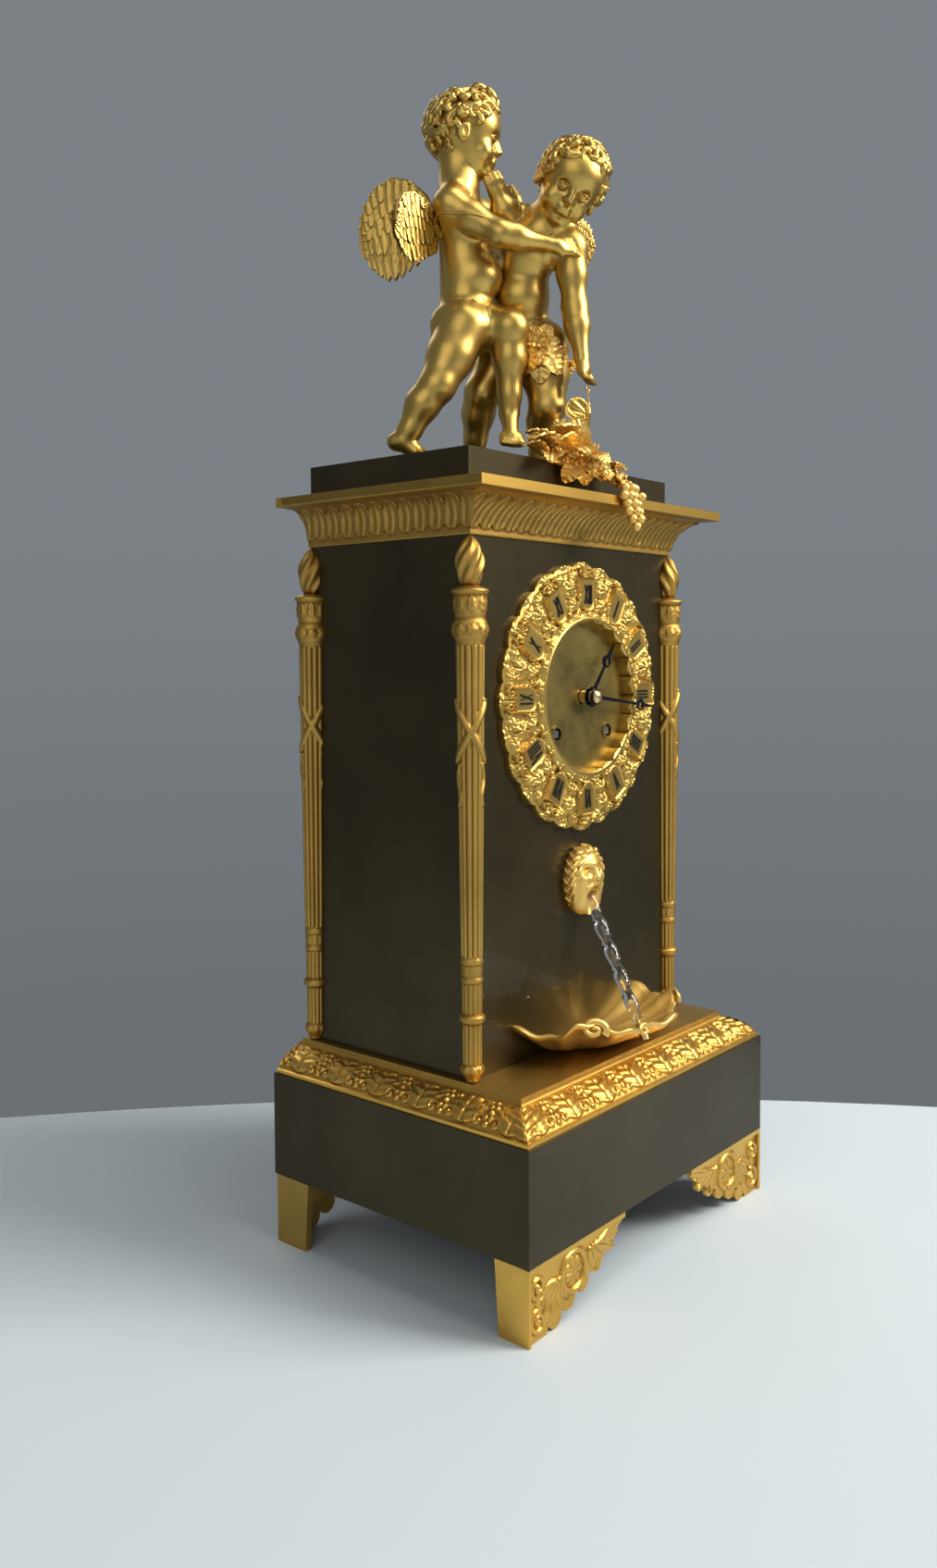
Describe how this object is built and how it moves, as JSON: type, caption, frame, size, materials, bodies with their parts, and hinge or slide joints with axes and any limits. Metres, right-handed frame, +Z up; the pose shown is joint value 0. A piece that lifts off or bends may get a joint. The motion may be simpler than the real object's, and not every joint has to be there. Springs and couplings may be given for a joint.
{
  "type": "automaton clock",
  "caption": "Mantel clock with a fountain automaton: a patinated case with gilt mounts and putti, and a twisted glass rod that turns between a mask's mouth and a shell basin.",
  "frame": {"origin": "on the floor, at the centre of the base block's footprint", "axes": "+Z up, the dial and the fountain face -Y, +X to the right of someone facing the dial"},
  "size_m": [0.1882, 0.1432, 0.5221],
  "materials": {
    "gilt": "burnished and matt mercury gilding on bronze",
    "patina": "dark brown-green patinated bronze",
    "movement_brass": "polished brass",
    "steel": "polished steel",
    "blued": "blued steel",
    "rod_glass": "clear twisted glass",
    "numeral_fill": "black wax filling"
  },
  "bodies": {
    "case": {"foot_front_left": "gilt", "foot_front_right": "gilt", "foot_back_left": "gilt", "foot_back_right": "gilt", "base_plinth": "patina", "base_border": "gilt", "ledge_plate": "gilt", "front_panel": "patina", "left_panel": "patina", "right_panel": "patina", "back_panel": "patina", "torch_front_left": "gilt", "torch_front_right": "gilt", "torch_back_left": "gilt", "torch_back_right": "gilt", "cornice": "gilt", "top_plinth": "patina", "case_fasteners": "steel", "putto_left": "gilt", "putto_left_wings": "gilt", "putto_right": "gilt", "putto_right_wings": "gilt", "flower_spray": "gilt", "mask": "gilt", "shell_basin": "gilt", "shell_pivot": "movement_brass", "automaton_frame": "movement_brass", "dial_ring": "gilt", "dial_numerals": "numeral_fill", "dial_centre": "gilt", "movement_frame": "movement_brass", "bell": "movement_brass", "bell_stand": "steel"},
    "door": {"back_door": "patina", "door_knob": "movement_brass"},
    "rod": {"glass_rod": "rod_glass", "rod_arbor": "movement_brass"},
    "automaton_wheel": {"automaton_wheel": "movement_brass"},
    "automaton_barrel": {"automaton_barrel": "movement_brass"},
    "start_lever": {"start_lever": "steel"},
    "butterfly": {"butterfly": "gilt"},
    "centre": {"centre_arbor": "movement_brass", "minute_hand": "blued", "hand_nut": "movement_brass"},
    "hour": {"hour_wheel": "movement_brass", "hour_hand": "blued"},
    "minute_wheel": {"minute_wheel": "movement_brass"},
    "second_wheel": {"second_wheel": "movement_brass"},
    "third_wheel": {"third_wheel": "movement_brass"},
    "escape_wheel": {"escape_wheel": "movement_brass"},
    "going_barrel": {"going_barrel": "movement_brass"},
    "going_winding_arbor": {"going_winding_arbor": "steel"},
    "pallets": {"pallets": "steel"},
    "pendulum": {"pendulum": "movement_brass"},
    "strike_barrel": {"strike_barrel": "movement_brass"},
    "strike_winding_arbor": {"strike_winding_arbor": "steel"},
    "strike_wheel": {"strike_wheel": "movement_brass"},
    "pin_wheel": {"pin_wheel": "movement_brass"},
    "fly": {"fly": "movement_brass"},
    "hammer": {"hammer": "steel"}
  },
  "joints": [
    {"name": "minute_hand_turn", "type": "hinge", "parent": "case", "child": "centre", "pos_m": [0, -0.02, 0.2444], "axis": [0, 1, 0], "continuous": true},
    {"name": "hour_hand_turn", "type": "hinge", "parent": "case", "child": "hour", "pos_m": [0, -0.025, 0.2444], "axis": [0, 1, 0], "continuous": true},
    {"name": "minute_wheel_turn", "type": "hinge", "parent": "case", "child": "minute_wheel", "pos_m": [0, -0.022, 0.2324], "axis": [0, 1, 0], "continuous": true},
    {"name": "second_wheel_turn", "type": "hinge", "parent": "case", "child": "second_wheel", "pos_m": [0.01448, 0, 0.24874], "axis": [0, 1, 0], "continuous": true},
    {"name": "third_wheel_turn", "type": "hinge", "parent": "case", "child": "third_wheel", "pos_m": [-0.00122, 0, 0.25839], "axis": [0, 1, 0], "continuous": true},
    {"name": "escape_wheel_turn", "type": "hinge", "parent": "case", "child": "escape_wheel", "pos_m": [0, 0, 0.27081], "axis": [0, 1, 0], "continuous": true},
    {"name": "going_barrel_turn", "type": "hinge", "parent": "case", "child": "going_barrel", "pos_m": [0.0197, 0, 0.2284], "axis": [0, 1, 0], "continuous": true},
    {"name": "going_winding", "type": "hinge", "parent": "case", "child": "going_winding_arbor", "pos_m": [0.0197, 0, 0.2284], "axis": [0, 1, 0], "continuous": true},
    {"name": "strike_barrel_turn", "type": "hinge", "parent": "case", "child": "strike_barrel", "pos_m": [-0.0197, 0, 0.2284], "axis": [0, 1, 0], "continuous": true},
    {"name": "strike_winding", "type": "hinge", "parent": "case", "child": "strike_winding_arbor", "pos_m": [-0.0197, 0, 0.2284], "axis": [0, 1, 0], "continuous": true},
    {"name": "strike_wheel_turn", "type": "hinge", "parent": "case", "child": "strike_wheel", "pos_m": [-0.01448, 0, 0.24874], "axis": [0, 1, 0], "continuous": true},
    {"name": "pin_wheel_turn", "type": "hinge", "parent": "case", "child": "pin_wheel", "pos_m": [-0.01696, 0, 0.2628], "axis": [0, 1, 0], "continuous": true},
    {"name": "fly_turn", "type": "hinge", "parent": "case", "child": "fly", "pos_m": [-0.02692, 0, 0.26978], "axis": [0, 1, 0], "continuous": true},
    {"name": "pendulum_swing", "type": "hinge", "parent": "case", "child": "pendulum", "pos_m": [0, 0.0295, 0.28311], "axis": [0, 1, 0], "range_deg": [-3.5, 3.5]},
    {"name": "crutch_swing", "type": "hinge", "parent": "case", "child": "pallets", "pos_m": [0, 0, 0.28311], "axis": [0, 1, 0], "range_deg": [-3.5, 3.5]},
    {"name": "hammer_lift", "type": "hinge", "parent": "case", "child": "hammer", "pos_m": [-0.031, 0, 0.2524], "axis": [0, 1, 0], "range_deg": [0, 18]},
    {"name": "rod_spin", "type": "hinge", "parent": "case", "child": "rod", "pos_m": [0, -0.035, 0.1544], "axis": [0, 0.4446, 0.8957], "continuous": true},
    {"name": "automaton_wheel_turn", "type": "hinge", "parent": "case", "child": "automaton_wheel", "pos_m": [-0.00903, -0.01093, 0.17594], "axis": [0, 0.4446, 0.8957], "continuous": true},
    {"name": "automaton_barrel_turn", "type": "hinge", "parent": "case", "child": "automaton_barrel", "pos_m": [0.00802, -0.0074, 0.17419], "axis": [0, 0.4446, 0.8957], "continuous": true},
    {"name": "start_lever_turn", "type": "hinge", "parent": "case", "child": "start_lever", "pos_m": [0.019, 0.00363, 0.18725], "axis": [0, -0.4446, -0.8957], "range_deg": [0, 14]},
    {"name": "door_swing", "type": "hinge", "parent": "case", "child": "door", "pos_m": [0.0482, 0.0649, 0.207], "axis": [0, 0, -1], "range_deg": [0, 110]},
    {"name": "butterfly_swing", "type": "hinge", "parent": "case", "child": "butterfly", "pos_m": [0.01, -0.0276, 0.383], "axis": [0, 1, 0], "range_deg": [-15, 15]}
  ],
  "couplings": [
    {"joint": "hour_hand_turn", "follows": "minute_hand_turn", "ratio": 0.083333},
    {"joint": "minute_wheel_turn", "follows": "minute_hand_turn", "ratio": -0.33333},
    {"joint": "second_wheel_turn", "follows": "minute_hand_turn", "ratio": -0.125},
    {"joint": "going_barrel_turn", "follows": "minute_hand_turn", "ratio": 0.020833},
    {"joint": "third_wheel_turn", "follows": "minute_hand_turn", "ratio": -12},
    {"joint": "escape_wheel_turn", "follows": "minute_hand_turn", "ratio": 144},
    {"joint": "crutch_swing", "follows": "pendulum_swing", "ratio": 1},
    {"joint": "strike_barrel_turn", "follows": "strike_wheel_turn", "ratio": -0.16667},
    {"joint": "pin_wheel_turn", "follows": "strike_wheel_turn", "ratio": -7.5},
    {"joint": "fly_turn", "follows": "strike_wheel_turn", "ratio": 52.5},
    {"joint": "automaton_wheel_turn", "follows": "rod_spin", "ratio": -0.25},
    {"joint": "automaton_barrel_turn", "follows": "rod_spin", "ratio": 0.041667}
  ]
}
